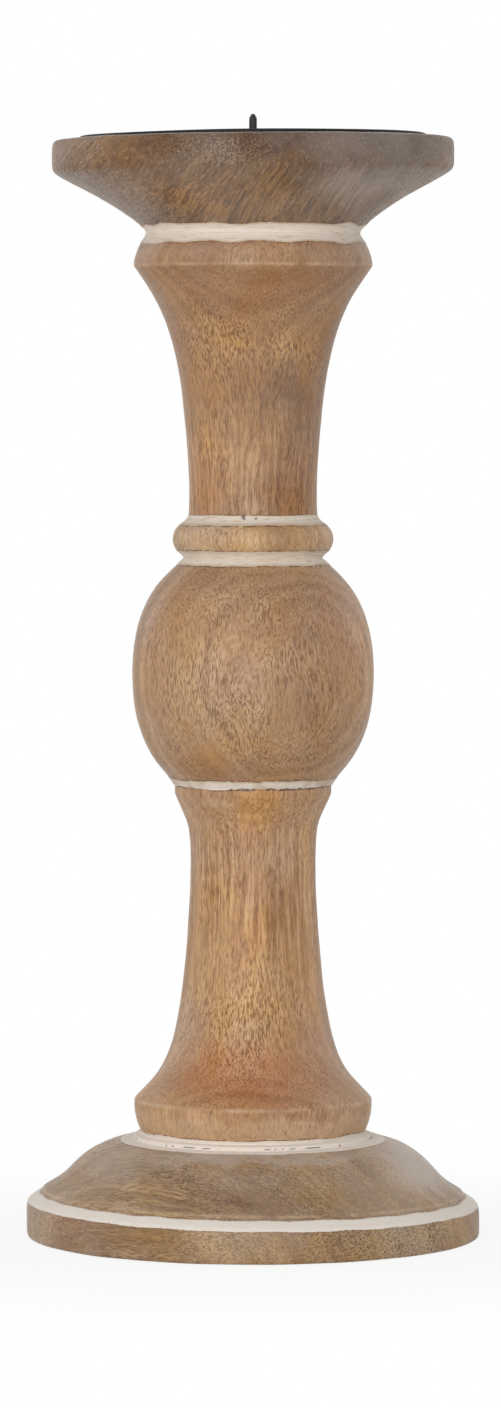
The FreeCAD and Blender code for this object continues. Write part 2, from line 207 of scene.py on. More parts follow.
class Tree:
    """Adds nodes to one node tree and joins them."""

    def __init__(self, tree):
        self.tree = tree

    def feed(self, socket, value):
        if isinstance(value, bpy.types.NodeSocket):
            self.tree.links.new(value, socket)
        else:
            socket.default_value = value

    def feed_all(self, node, values):
        """Feeds a node's sockets, by name or number, except those that are given None."""
        for socket, value in values.items():
            if value is not None:
                self.feed(node.inputs[socket], value)
        return node

    def add(self, kind, values=None, **settings):
        """A node with its settings made and its sockets fed."""
        node = self.tree.nodes.new(kind)
        for name, setting in settings.items():
            setattr(node, name, setting)
        return self.feed_all(node, values or {})

    def math(self, operation, first, second=None, clamp=False):
        values = {0: first, 1: second}
        return self.add("ShaderNodeMath", values, operation=operation, use_clamp=clamp).outputs[0]

    def plus(self, first, second, clamp=False):
        return self.math("ADD", first, second, clamp)

    def minus(self, first, second):
        return self.math("SUBTRACT", first, second)

    def times(self, first, second, clamp=False):
        return self.math("MULTIPLY", first, second, clamp)

    def larger(self, first, second):
        return self.math("MAXIMUM", first, second)

    def vector(self, operation, first, second=None, scale=None):
        values = {0: first, 1: second, "Scale": scale}
        return self.add("ShaderNodeVectorMath", values, operation=operation).outputs[0]

    def length(self, vector):
        return self.add("ShaderNodeVectorMath", {0: vector}, operation="LENGTH").outputs["Value"]

    def mapping(self, vector, turn=(0, 0, 0), scale=(1, 1, 1), move=(0, 0, 0)):
        values = {"Vector": vector, "Location": move, "Rotation": turn, "Scale": scale}
        return self.add("ShaderNodeMapping", values).outputs[0]

    def noise(self, vector, scale=1, detail=2, roughness=0.5, distortion=0):
        """A noise node: its first output is the value and its second the colour."""
        values = {
            "Vector": vector, "Scale": scale, "Detail": detail, "Roughness": roughness,
            "Distortion": distortion,
        }
        return self.add("ShaderNodeTexNoise", values).outputs

    def ramp(self, value, low, high, to_low=0, to_high=1):
        values = {0: value, 1: low, 2: high, 3: to_low, 4: to_high}
        return self.add("ShaderNodeMapRange", values, interpolation_type="SMOOTHSTEP").outputs[0]

    def mix(self, factor, first, second, blend="MIX"):
        values = {0: factor, 6: opaque(first), 7: opaque(second)}
        return self.add("ShaderNodeMix", values, data_type="RGBA", blend_type=blend).outputs[2]

    def palette(self, value, colours):
        """Colours in even steps along a value from 0 to 1."""
        node = self.add("ShaderNodeValToRGB", {0: value})
        stops = node.color_ramp.elements
        stops.remove(stops[1])
        stops[0].color = opaque(colours[0])
        for count, colour in enumerate(colours[1:], 1):
            stops.new(count / (len(colours) - 1)).color = opaque(colour)
        return node.outputs[0]

    def swayed(self, place, sway, reach):
        """A place moved by the colour of a noise, less its middle, times a reach."""
        sway = self.vector("SUBTRACT", sway, (0.5, 0.5, 0.5))
        return self.vector("ADD", place, self.vector("SCALE", sway, scale=reach))

    def bump(self, height, strength, depth):
        values = {"Strength": strength, "Distance": depth, "Height": height}
        return self.add("ShaderNodeBump", values).outputs[0]

    def group(self, name, values):
        """The outputs of a node group placed in this tree, with its inputs fed by name."""
        return self.add("ShaderNodeGroup", values, node_tree=bpy.data.node_groups[name]).outputs


def opaque(colour):
    """A colour with its alpha, or the socket as it is."""
    if isinstance(colour, bpy.types.NodeSocket):
        return colour
    return (*colour, 1)


def new_group(name, vectors, numbers, results):
    """An empty node group: its Tree, and its inputs and results by name."""
    tree = bpy.data.node_groups.new(name, "ShaderNodeTree")
    sockets = (
        (vectors, "INPUT", "NodeSocketVector"), (numbers, "INPUT", "NodeSocketFloat"),
        (results, "OUTPUT", "NodeSocketFloat"),
    )
    for labels, side, kind in sockets:
        for label in labels:
            tree.interface.new_socket(label, in_out=side, socket_type=kind)
    enter = tree.nodes.new("NodeGroupInput")
    leave = tree.nodes.new("NodeGroupOutput")
    return Tree(tree), enter.outputs, leave.inputs


def make_figure_group():
    """Tone of the wood from 0, dark, to 1, pale. Place is in millimetres, with the grain along Z."""
    tree, given, result = new_group(
        "Wood figure", ("Place", "Heart"), ("Rings", "Streaks", "Ticks", "Wander"),
        ("Tone", "Warmth"),
    )
    sway = tree.noise(tree.mapping(given["Place"], scale=(0.045, 0.045, 0.03)), detail=2)[1]
    place = tree.swayed(given["Place"], sway, tree.times(given["Wander"], 5))
    from_heart = tree.mapping(tree.vector("SUBTRACT", place, given["Heart"]), scale=(1, 1, 0.06))
    age = tree.vector("SCALE", (0.17, 0.0, 0.0), scale=tree.length(from_heart))
    ring = tree.noise(age, detail=3, roughness=0.6)[0]
    streak = tree.noise(tree.mapping(place, scale=(1.0, 1.0, 0.022)), detail=4, roughness=0.62)[0]
    tick = tree.noise(
        tree.mapping(place, scale=(2.5, 2.5, 0.38)), detail=2, roughness=0.6, distortion=0.3
    )[0]
    zone = tree.noise(tree.mapping(place, scale=(0.07, 0.07, 0.05)), detail=2)[0]
    lively = tree.times(given["Ticks"], tree.ramp(zone, 0.36, 0.6, 0.45, 1.05))
    parts = (
        (tree.ramp(ring, 0.34, 0.66), given["Rings"], 0.5),
        (tree.ramp(streak, 0.3, 0.7), given["Streaks"], 0.42),
        (tree.ramp(tick, 0.36, 0.56), lively, 0.6),
    )
    tone = 0.55
    for value, share, gain in parts:
        swing = tree.times(tree.minus(value, 0.5), gain)
        tone = tree.plus(tree.times(swing, share), tone)
    tree.feed(result["Tone"], tree.plus(tone, 0, clamp=True))
    warmth = tree.noise(tree.mapping(place, scale=(0.05, 0.05, 0.035), move=(7, 3, 5)), detail=3)[0]
    tree.feed(result["Warmth"], tree.ramp(warmth, 0.34, 0.64))


def make_pore_group():
    """Mask of the open pores: long ticks along Z on side grain and specks on end grain."""
    tree, given, result = new_group(
        "Open pores", ("Place",), ("Pitch", "Length", "Width", "Share"), ("Mask",)
    )
    bend = tree.noise(tree.mapping(given["Place"], scale=(0.25, 0.25, 0.12)), detail=1)[1]
    place = tree.vector("ADD", given["Place"], tree.vector("SCALE", bend, scale=1.6))
    across = tree.math("DIVIDE", 1, given["Pitch"])
    along = tree.math("DIVIDE", across, given["Length"])
    scale = tree.add("ShaderNodeCombineXYZ", {0: across, 1: across, 2: along}).outputs[0]
    cells = tree.add(
        "ShaderNodeTexVoronoi", {"Vector": tree.vector("MULTIPLY", place, scale), "Scale": 1}
    ).outputs
    chosen = tree.add("ShaderNodeSeparateColor", {0: cells["Color"]}).outputs
    open_here = tree.math("LESS_THAN", chosen[0], given["Share"])
    width = tree.times(given["Width"], tree.ramp(chosen[1], 0, 1, 0.6, 1.25))
    edge = tree.minus(1, tree.math("DIVIDE", cells["Distance"], width))
    mask = tree.ramp(edge, 0, 0.45)
    tree.feed(result["Mask"], tree.times(mask, open_here))


def make_veil_group():
    """Mask of the thin lime veil: wiped patches that hold on in the coarse grain."""
    tree, given, result = new_group("Lime veil", ("Place",), ("Cover", "Patch"), ("Mask",))
    scaled = tree.vector("SCALE", given["Place"], scale=tree.math("DIVIDE", 1, given["Patch"]))
    patch = tree.ramp(tree.noise(scaled, detail=3, roughness=0.6)[0], 0.35, 0.68)
    grit = tree.noise(tree.mapping(given["Place"], scale=(1.3, 1.3, 0.5)), detail=3, roughness=0.7)[0]
    wiped = tree.times(patch, tree.ramp(grit, 0.3, 0.62, 0.55, 1))
    tree.feed(result["Mask"], tree.times(wiped, given["Cover"], clamp=True))


def make_paste_group():
    """Mask and stain of the paste, from the cover that the piece's vertices hold."""
    tree, given, result = new_group(
        "Groove paste", ("Place",), ("Cover", "Ragged"), ("Mask", "Stain", "Grime", "Lumps")
    )
    grit = tree.noise(given["Place"], scale=0.9, detail=4, roughness=0.6)[0]
    ragged = tree.times(tree.minus(grit, 0.5), given["Ragged"])
    held = tree.plus(given["Cover"], ragged)
    tree.feed(result["Mask"], tree.ramp(held, 0.4, 0.6))
    wiped = tree.noise(tree.mapping(given["Place"], scale=(0.2, 0.2, 1.5)), detail=4, roughness=0.6)[0]
    thin = tree.ramp(held, 1.0, 0.55)
    tree.feed(result["Stain"], tree.larger(tree.ramp(wiped, 0.5, 0.8), thin))
    # A dark line along both edges of the paste, where the groove meets the wood: partly grime, partly
    # painted shade in the crease.
    line = tree.times(tree.ramp(held, 0.16, 0.4), tree.ramp(held, 0.56, 0.44))
    broken = tree.ramp(tree.noise(given["Place"], scale=0.5, detail=3)[0], 0.4, 0.58, 0.15, 1)
    tree.feed(result["Grime"], tree.times(line, broken))
    tree.feed(result["Lumps"], tree.plus(wiped, tree.times(grit, 0.6)))


def make_patch_group():
    """Soft mask of one patch of the surface. Place is in millimetres and already frayed."""
    tree, given, result = new_group("Soft patch", ("Place", "Centre", "Reach"), (), ("Mask",))
    away = tree.vector("DIVIDE", tree.vector("SUBTRACT", given["Place"], given["Centre"]), given["Reach"])
    tree.feed(result["Mask"], tree.ramp(tree.length(away), 1.3, 0.35))


TINTS = ("golden", "red", "dark", "light", "rosy")
WASHES = ("lime", "mauve", "pale", "straw", "umber")
GROUP_MAKERS = (
    make_figure_group, make_pore_group, make_veil_group, make_paste_group, make_patch_group,
)

COLUMN_COLOURS = ("pore", "brown", "tan", "pale")
PLATE_COLOURS = ("soot", "umber", "dun", "straw")


class Look(NamedTuple):
    """How the wood of one section looks, in millimetres."""

    seed: int
    heart: tuple
    rings: float
    streaks: float
    stain: float
    shade: tuple
    colours: tuple = COLUMN_COLOURS
    grain: tuple = (0, 0, 1)
    ticks: float = 0.8
    wander: float = 2.0
    pores: float = 0.5
    flecks: float = 0.15
    veil: float = 0.12
    # Strength of the dark line along the paste's edges: partly grime, partly painted shade in the groove.
    grime_and_shade: float = 0.5


# Soft patches of each section: what they do there, their centre and reach in mm, how strongly. Some light
# and rosy patches are painted highlights and painted reflections, marked below.
PATCHES = {
    "base": (
        ("golden", (-4, -60, 5), (30, 30, 6), 0.7),
        ("red", (-48, -36, 6), (12, 30, 5), 0.6),
        ("dark", (-2, -48, 17), (22, 14, 4), 0.4),
        ("ticks", (42, -42, 5), (18, 26, 6), 0.9),
        ("light", (50, -32, 5), (14, 26, 6), 0.7),
        # The next three rows: paler along both silhouettes of the dome, partly lime and partly a painted
        # reflection of the white surround.
        ("light", (42, -12, 20), (20, 30, 9), 1.0),
        ("light", (-42, -12, 20), (18, 30, 9), 0.35),
        ("lime", (43, -8, 21), (18, 30, 9), 0.75),
        ("light", (0, -34, 24), (30, 14, 2.4), 0.45),
        ("lime", (-36, -26, 22), (14, 24, 5), 0.12),
        ("lime", (2, -34, 25.5), (34, 14, 2), 0.5),
    ),
    "lower_column": (
        ("streaks", (0, -18, 92), (30, 30, 24), 0.8),
        ("ticks", (0, -20, 60), (20, 24, 18), 0.3),
        ("light", (17, -12, 82), (7, 14, 30), 0.45),
        # Painted highlight: a light streak down the front of the column.
        ("light", (-1.5, -18, 90), (6, 10, 30), 0.8),
        ("light", (-8, -18, 70), (4, 10, 16), 0.2),
        ("dark", (-5.5, -18, 78), (1.6, 8, 12), 0.6),
        ("red", (-5, -24, 46), (22, 24, 9), 0.85),
        ("red", (8, -26, 41), (16, 20, 4), 0.4),
        ("rosy", (17, -20, 52), (8, 20, 13), 0.6),
        ("dark", (-2, -26, 43), (34, 30, 6), 0.35),
        ("light", (0, -32, 31.5), (46, 46, 6), 1.0),
        ("straw", (0, -32, 31), (46, 46, 5), 0.4),
        ("dark", (12, -30, 35.4), (24, 24, 1.8), 0.6),
        ("golden", (-4, -20, 113), (22, 24, 8), 0.35),
        ("pale", (-9, -18, 117.5), (6, 12, 2), 0.2),
    ),
    "upper_column": (
        ("streaks", (0, -16, 206), (30, 30, 20), 0.9),
        ("ticks", (-4.5, -20, 240), (16, 20, 12), 0.4),
        ("ticks", (12, -18, 235), (8, 20, 8), 0.6),
        ("golden", (-4.5, -20, 239), (18, 20, 13), 0.4),
        ("light", (-14, -14, 226), (6, 14, 9), 0.45),
        ("dark", (10, -20, 214), (9, 14, 8), 0.3),
        ("red", (0, -26, 254), (30, 26, 4.5), 0.3),
        ("mauve", (8.5, -18, 226), (7, 14, 9), 0.3),
        ("dark", (2, -18, 229), (14, 14, 9), 0.85),
        ("dark", (-6, -22, 248), (26, 20, 4), 0.4),
        # Painted highlight: a light streak down the front of the neck.
        ("light", (-3, -16, 206), (4, 10, 14), 0.4),
        ("golden", (-12, -12, 203), (8, 12, 14), 0.6),
        ("light", (-12, -12, 203), (9, 12, 16), 0.95),
        ("red", (9, -14, 203), (8, 12, 12), 0.4),
        ("dark", (9, -14, 199), (8, 12, 8), 0.45),
        ("light", (0, 0, 263.5), (40, 40, 5), 1.0),
        ("lime", (0, 0, 263.5), (40, 40, 5), 0.3),
    ),
    "ball": (
        ("ticks", (-3, -30, 152), (22, 22, 20), 0.4),
        # Painted highlight on the front of the ball.
        ("light", (-4, -32, 155), (12, 12, 12), 0.45),
        ("dark", (-4, -24, 177), (20, 16, 4), 0.4),
        ("golden", (-10, -28, 166), (22, 20, 12), 0.4),
        # The next two rows: painted reflection of the white surround, pale and pinkish, along the ball's
        # right silhouette.
        ("rosy", (24, -18, 166), (9, 16, 16), 0.7),
        ("light", (27, -12, 152), (10, 14, 26), 0.75),
        ("dark", (10, -30, 163), (14, 16, 3), 0.3),
        ("dark", (16, -26, 138), (3.5, 12, 10), 0.3),
        # Painted reflection of the white surround along the ball's left silhouette.
        ("rosy", (-26, -14, 150), (6, 12, 20), 0.5),
        ("dark", (3, -30, 136), (3, 12, 8), 0.25),
        ("dark", (-6, -24, 127), (22, 20, 4), 0.4),
        ("golden", (-14, -24, 129), (12, 16, 5), 0.4),
    ),
    "bead_ring": (
        # Painted highlight across the front of the bead.
        ("light", (0, -22, 188), (26, 20, 3), 0.15),
        # Painted pinkish reflection of the white surround along the bead's right silhouette.
        ("rosy", (20, -12, 187), (6, 12, 6), 0.5),
    ),
    "candle_cap": (
        ("golden", (-8, -40, 277), (26, 24, 9), 1.0),
        ("light", (-8, -40, 277), (18, 20, 7), 0.3),
        ("streaks", (8, -40, 277), (34, 30, 9), 1.0),
        ("golden", (-50, -20, 289), (8, 20, 6), 0.6),
        ("dark", (-32, -44, 286), (12, 14, 1.2), 0.5),
        ("ticks", (-8, -52, 290), (14, 20, 4), 0.6),
        ("lime", (28, -38, 280), (12, 18, 7), 0.25),
        ("dark", (10, -50, 292), (52, 34, 8), 1.0),
        ("dark", (30, -46, 292), (40, 34, 8), 0.8),
        ("dark", (-6, -53, 292), (26, 20, 8), 0.7),
        ("mauve", (36, -42, 292), (34, 34, 8), 0.75),
        ("light", (-40, -36, 289), (18, 30, 6), 0.6),
        ("light", (-22, -34, 278), (18, 20, 7), 0.75),
        ("ticks", (-10, -52, 290), (14, 20, 5), 0.9),
    ),
}

LOOKS = {
    "base": Look(
        seed=1, heart=(8, 60, 0), rings=0.5, streaks=0.6, stain=0.15, shade=(0.98, 0.87, 0.66),
        colours=PLATE_COLOURS, grain=(0.8, -0.6, 0.12), pores=0.6, flecks=0.25, veil=0.22, grime_and_shade=0.3,
    ),
    "lower_column": Look(
        seed=2, heart=(2, 55, 0), rings=0.4, streaks=0.35, stain=0.25, shade=(1.0, 0.88, 0.71),
        ticks=0.55, wander=0.7, grime_and_shade=0.9,
    ),
    "upper_column": Look(
        seed=3, heart=(-4, 60, 0), rings=0.5, streaks=0.15, stain=0.9, shade=(0.74, 0.615, 0.475),
        ticks=0.6, wander=1.2, grime_and_shade=0.7,
    ),
    "ball": Look(
        seed=4, heart=(-26, 52, 0), rings=0.5, streaks=0.25, stain=1.0, shade=(0.87, 0.79, 0.69),
        ticks=0.6, grime_and_shade=1.0,
    ),
    "bead_ring": Look(
        seed=5, heart=(20, 40, 0), rings=0.5, streaks=0.3, stain=1.2, shade=(1.06, 1.06, 1.02),
        ticks=0.6, pores=0.35, veil=0.2, grime_and_shade=0.9,
    ),
    "candle_cap": Look(
        seed=6, heart=(10, 80, 0), rings=0.5, streaks=1.1, stain=0.9, shade=(0.53, 0.41, 0.29),
        colours=PLATE_COLOURS, grain=(0.36, -0.83, 0.56), wander=0.6, flecks=0.25, veil=0.2,
    ),
}


def empty_tree(owner):
    """The Tree of a material or a world, without nodes."""
    owner.use_nodes = True
    owner.node_tree.nodes.clear()
    return Tree(owner.node_tree)


def new_material(name):
    """A material with an empty tree: the material, its Tree and its Principled shader."""
    material = bpy.data.materials.new(name)
    tree = empty_tree(material)
    shader = tree.add("ShaderNodeBsdfPrincipled")
    tree.add("ShaderNodeOutputMaterial", {"Surface": shader.outputs[0]})
    return material, tree, shader


def place_in_mm(tree):
    """Object coordinates in millimetres."""
    coordinates = tree.add("ShaderNodeTexCoord").outputs["Object"]
    return tree.vector("SCALE", coordinates, scale=1 / MM)


def attribute(tree, name):
    return tree.add("ShaderNodeAttribute", attribute_name=name).outputs["Fac"]


def limewashed_wood(name, look, patches, wood):
    """Turned wood with a lime veil, open pores and pale paste in the grooves."""
    material, tree, shader = new_material(name)
    place = place_in_mm(tree)
    turn = Vector(look.grain).rotation_difference(UP).to_euler()
    apart = (look.seed * 61.0, look.seed * 37.0, look.seed * 83.0)
    upright = tree.mapping(place, turn=turn)
    grain = tree.mapping(upright, move=apart)
    fray = tree.noise(place, scale=0.13, detail=4, roughness=0.6)[1]
    frayed = tree.swayed(place, fray, 9)

    def mask(centre, reach, strength):
        values = {"Place": frayed, "Centre": centre, "Reach": reach}
        return tree.times(tree.group("Soft patch", values)["Mask"], strength)

    def with_patches(effect, start):
        """A share, and what the patches with this effect add to it."""
        total = start
        for kind, *patch in patches:
            if kind == effect:
                total = tree.plus(mask(*patch), total)
        return total

    figure = tree.group("Wood figure", {
        "Place": grain, "Heart": Vector(apart) + Vector(look.heart), "Rings": look.rings,
        "Streaks": with_patches("streaks", look.streaks), "Ticks": with_patches("ticks", look.ticks),
        "Wander": look.wander,
    })
    colour = tree.palette(figure["Tone"], [getattr(wood, shade) for shade in look.colours])
    cool, warm = (
        [share * part for share, part in zip(look.shade, tint)] for tint in (wood.cool, wood.warm)
    )
    colour = tree.mix(1, colour, tree.mix(figure["Warmth"], cool, warm), "MULTIPLY")
    for effect, *patch in patches:
        if effect in TINTS:
            colour = tree.mix(mask(*patch), colour, getattr(wood, effect), "MULTIPLY")
        elif effect in WASHES:
            colour = tree.mix(mask(*patch), colour, getattr(wood, effect))
    pores = tree.group("Open pores", {
        "Place": grain, "Pitch": 0.85, "Length": 7.0, "Width": 0.23, "Share": 0.55,
    })["Mask"]
    colour = tree.mix(tree.times(pores, look.pores), colour, getattr(wood, look.colours[0]))
    flecks = tree.group("Open pores", {
        "Place": tree.mapping(grain, move=(3.1, 7.7, 11.3)), "Pitch": 0.8, "Length": 4.0,
        "Width": 0.28, "Share": 0.45,
    })["Mask"]
    colour = tree.mix(tree.times(flecks, look.flecks), colour, wood.lime)
    veil = tree.group("Lime veil", {"Place": grain, "Cover": look.veil, "Patch": 22.0})["Mask"]
    colour = tree.mix(veil, colour, wood.lime)
    paste = tree.group(
        "Groove paste", {"Place": place, "Cover": attribute(tree, "paste"), "Ragged": 0.35}
    )
    stain = tree.times(tree.plus(paste["Stain"], 0.4), look.stain, clamp=True)
    colour = tree.mix(paste["Mask"], colour, tree.mix(stain, wood.paste, wood.stained))
    # Dark line along the paste's edges: partly grime, partly painted shade where the groove meets the
    # wood.
    colour = tree.mix(tree.times(paste["Grime"], look.grime_and_shade), colour, wood.pore)
    # Bare corners painted pale: partly wear, partly a painted highlight along the edge.
    worn = tree.times(tree.minus(attribute(tree, "worn"), paste["Mask"]), 0.45)
    colour = tree.mix(tree.larger(worn, 0), colour, wood.pale)
    gap = tree.ramp(attribute(tree, "gap"), 0.25, 0.9, 0, 0.8)
    bare = tree.minus(1, paste["Mask"])
    grained = tree.times(tree.plus(figure["Tone"], tree.times(pores, -0.5)), bare)
    lumps = tree.times(tree.plus(paste["Lumps"], 0.6), paste["Mask"])
    rough = tree.ramp(figure["Tone"], 0, 1, 0.56, 0.44)
    tree.feed_all(shader, {
        "Base Color": tree.mix(gap, colour, wood.gap),
        "Roughness": tree.larger(rough, tree.times(paste["Mask"], 0.75)),
        "Normal": tree.bump(tree.plus(grained, lumps), strength=0.6, depth=0.2 * MM),
        "Specular IOR Level": 0.35,
        "Sheen Weight": 0.28,
        "Sheen Roughness": 0.2,
        "Sheen Tint": (1, 0.96, 0.9, 1),
    })
    return material


def painted_steel(name, paint, roughness, chips):
    """Satin black steel with fine orange peel and duller rubbed places."""
    material, tree, shader = new_material(name)
    place = place_in_mm(tree)
    rubbed = tree.ramp(tree.noise(place, scale=0.7, detail=4, roughness=0.7)[0], 0.5, 0.75)
    lighter = tuple(min(1, part * 3 + 0.02) for part in paint)
    peel = tree.noise(place, scale=2.4, detail=2)[0]
    tree.feed_all(shader, {
        "Base Color": tree.mix(tree.times(rubbed, chips), paint, lighter),
        "Roughness": tree.ramp(rubbed, 0, 1, roughness, roughness + 0.15),
        "Normal": tree.bump(peel, strength=0.3, depth=0.05 * MM),
        "Specular IOR Level": 0.3,
    })
    return material


def zinc_plate(name, zinc):
    """Zinc plated steel with a cloudy bloom."""
    material, tree, shader = new_material(name)
    bloom = tree.noise(place_in_mm(tree), scale=0.8, detail=4, roughness=0.6)[0]
    dull = tuple(part * 0.7 for part in zinc)
    tree.feed_all(shader, {
        "Base Color": tree.mix(bloom, dull, zinc),
        "Roughness": tree.ramp(bloom, 0.3, 0.7, 0.28, 0.45),
        "Metallic": 1,
    })
    return material


def plain_beech(name, beech):
    """Pale close-grained wood with short flecks."""
    material, tree, shader = new_material(name)
    place = place_in_mm(tree)
    fibre = tree.noise(tree.mapping(place, scale=(1.6, 1.6, 0.06)), detail=3)[0]
    fleck = tree.group("Open pores", {
        "Place": place, "Pitch": 1.3, "Length": 3.0, "Width": 0.2, "Share": 0.6,
    })["Mask"]
    deep = tuple(part * 0.72 for part in beech)
    colour = tree.mix(tree.ramp(fibre, 0.3, 0.7), deep, beech)
    tree.feed_all(shader, {
        "Base Color": tree.mix(tree.times(fleck, 0.5), colour, deep),
        "Roughness": 0.6,
    })
    return material


def wool_felt(name, felt):
    """Matted wool: tangled fibres with a soft nap."""
    material, tree, shader = new_material(name)
    tangle = tree.noise(
        place_in_mm(tree), scale=1.4, detail=6, roughness=0.75, distortion=2.2
    )[0]
    light = tuple(part * 1.9 for part in felt)
    tree.feed_all(shader, {
        "Base Color": tree.mix(tree.ramp(tangle, 0.3, 0.75), felt, light),
        "Roughness": 0.95,
        "Normal": tree.bump(tangle, strength=0.8, depth=0.25 * MM),
        "Sheen Weight": 0.5,
    })
    return material


class Band(NamedTuple):
    """A ring of pale paste between two heights, inside a radius, with wavering hand-wiped edges."""

    low: float
    high: float
    wander: float
    seed: int
    worn: float = 0.0
    reach: float = 1.0

    def cover(self, place):
        """How far the paste covers the place, from 0 to 1, with 0.5 at its edge."""
        margin = 1.5 * MM
        if not self.low - margin < place.z < self.high + margin:
            return 0
        edge = 1.2 * MM
        wave_length = 7 * MM
        rubbed_length = 4.5 * MM
        across = Vector((place.x, place.y, self.seed * MM)) / wave_length
        low = self.low + noise.noise(across) * self.wander * 2
        high = self.high + noise.noise(across + Vector((9, 4, 7))) * self.wander * 2
        radius = radius_of(place)
        reach = self.reach + noise.noise(across + Vector((5, 8, 3))) * self.wander
        inside = min(place.z - low, high - place.z, reach - radius)
        rubbed = max(0, noise.noise(place / rubbed_length) + 0.1) * self.worn
        return max(0, min(1, 0.5 + inside / edge) - rubbed)


class Mark(NamedTuple):
    """A pinhole, notch or crack at an angle from the front and a height, with its half sizes."""

    degrees: float
    radius: float
    height: float
    half_length: float
    half_width: float
    depth: float

    def share(self, place):
        """1 in the middle of the mark, 0 outside it."""
        if abs(place.z - self.height) > self.half_width:
            return 0
        radius = radius_of(place)
        across = math.hypot(place.z - self.height, radius - self.radius) / self.half_width
        if across > 1:
            return 0
        off = math.remainder(math.atan2(place.x, -place.y) - math.radians(self.degrees), FULL_TURN)
        along = abs(off) * radius / self.half_length
        return clamped(2 - 2 * max(across, along))


def cut_outline(node):
    """The half outline of a turned CAD piece, at +X in the XZ plane, as a bmesh of edges."""
    outline = bmesh.new()
    outline.from_mesh(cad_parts[node].data)
    bmesh.ops.remove_doubles(outline, verts=outline.verts, dist=WELD)
    everything = outline.verts[:] + outline.edges[:] + outline.faces[:]
    bmesh.ops.bisect_plane(
        outline, geom=everything, dist=WELD, plane_co=ORIGIN, plane_no=(0, 1, 0),
        clear_inner=True, clear_outer=True,
    )
    bmesh.ops.bisect_plane(
        outline, geom=outline.verts[:] + outline.edges[:], dist=WELD, plane_co=ORIGIN,
        plane_no=(1, 0, 0), clear_inner=True,
    )
    bmesh.ops.remove_doubles(outline, verts=outline.verts, dist=WELD)
    return outline


def is_crisp(vert, limit=CORNER):
    """True at a corner or an end of the outline."""
    if len(vert.link_edges) != 2:
        return True
    first, last = (edge.other_vert(vert).co - vert.co for edge in vert.link_edges)
    return math.pi - first.angle(last) > limit


def divide(outline, edges, step):
    """Divides each edge into pieces of at most the step."""
    for edge in edges:
        cuts = math.ceil(edge.calc_length() / step) - 1
        if cuts > 0:
            bmesh.ops.subdivide_edges(outline, edges=[edge], cuts=cuts)


def smooth(outline, verts, rounds, factor=0.5):
    """Evens out these vertices of an outline within its plane."""
    for _ in range(rounds):
        bmesh.ops.smooth_vert(outline, verts=verts, factor=factor, use_axis_x=True, use_axis_z=True)


def middle(edge):
    return (edge.verts[0].co + edge.verts[1].co) / 2


def in_band(place, bands):
    """True at the height of a band of paste or just beside it."""
    return any(band.low - MM < place.z < band.high + MM for band in bands)


def even_out(outline, turning, shows, bands):
    """Divides the outline finely where it shows, smooths its curves, and returns its bare corners, whose
    pale edges are partly wear and partly a painted highlight.
    """
    corners = [vert.co.copy() for vert in outline.verts if is_crisp(vert)]
    # Corners whose bare edges are painted pale: partly wear, partly a painted highlight.
    worn = [vert.co.copy() for vert in outline.verts if is_crisp(vert, WEAR_AND_HIGHLIGHT_CORNER)]
    divide(outline, outline.edges[:], turning.hidden_step)
    divide(outline, [edge for edge in outline.edges if shows(middle(edge))], turning.ring_step)

    def is_fine(edge):
        here = middle(edge)
        near_corner = any((here - corner).length < turning.wear_and_highlight_width for corner in corners)
        return shows(here) and (in_band(here, bands) or near_corner)

    divide(outline, [edge for edge in outline.edges if is_fine(edge)], turning.fine_step)
    smooth(outline, [vert for vert in outline.verts if not is_crisp(vert)], CURVE_ROUNDS)
    shown = [vert for vert in outline.verts if len(vert.link_edges) == 2 and shows(vert.co)]
    seams = min(vert.co.z for vert in shown), max(vert.co.z for vert in shown)
    between = [vert for vert in shown if min(abs(vert.co.z - seam) for seam in seams) > WELD]
    smooth(outline, between, EDGE_ROUNDS)
    return [corner for corner in worn if shows(corner) and not in_band(corner, bands)]


def spin(outline, steps):
    """Turns the outline through one sector, copies the sector round, and closes seams and poles."""
    sector = FULL_TURN / SECTORS
    bmesh.ops.spin(
        outline, geom=outline.verts[:] + outline.edges[:], cent=ORIGIN, axis=UP, angle=sector,
        steps=steps,
    )
    bmesh.ops.spin(
        outline, geom=outline.verts[:] + outline.edges[:] + outline.faces[:], cent=ORIGIN, axis=UP,
        angle=FULL_TURN - sector, steps=SECTORS - 1, use_duplicate=True,
    )
    bmesh.ops.remove_doubles(outline, verts=outline.verts, dist=WELD * 4)
    bmesh.ops.recalc_face_normals(outline, faces=outline.faces)
    outline.normal_update()


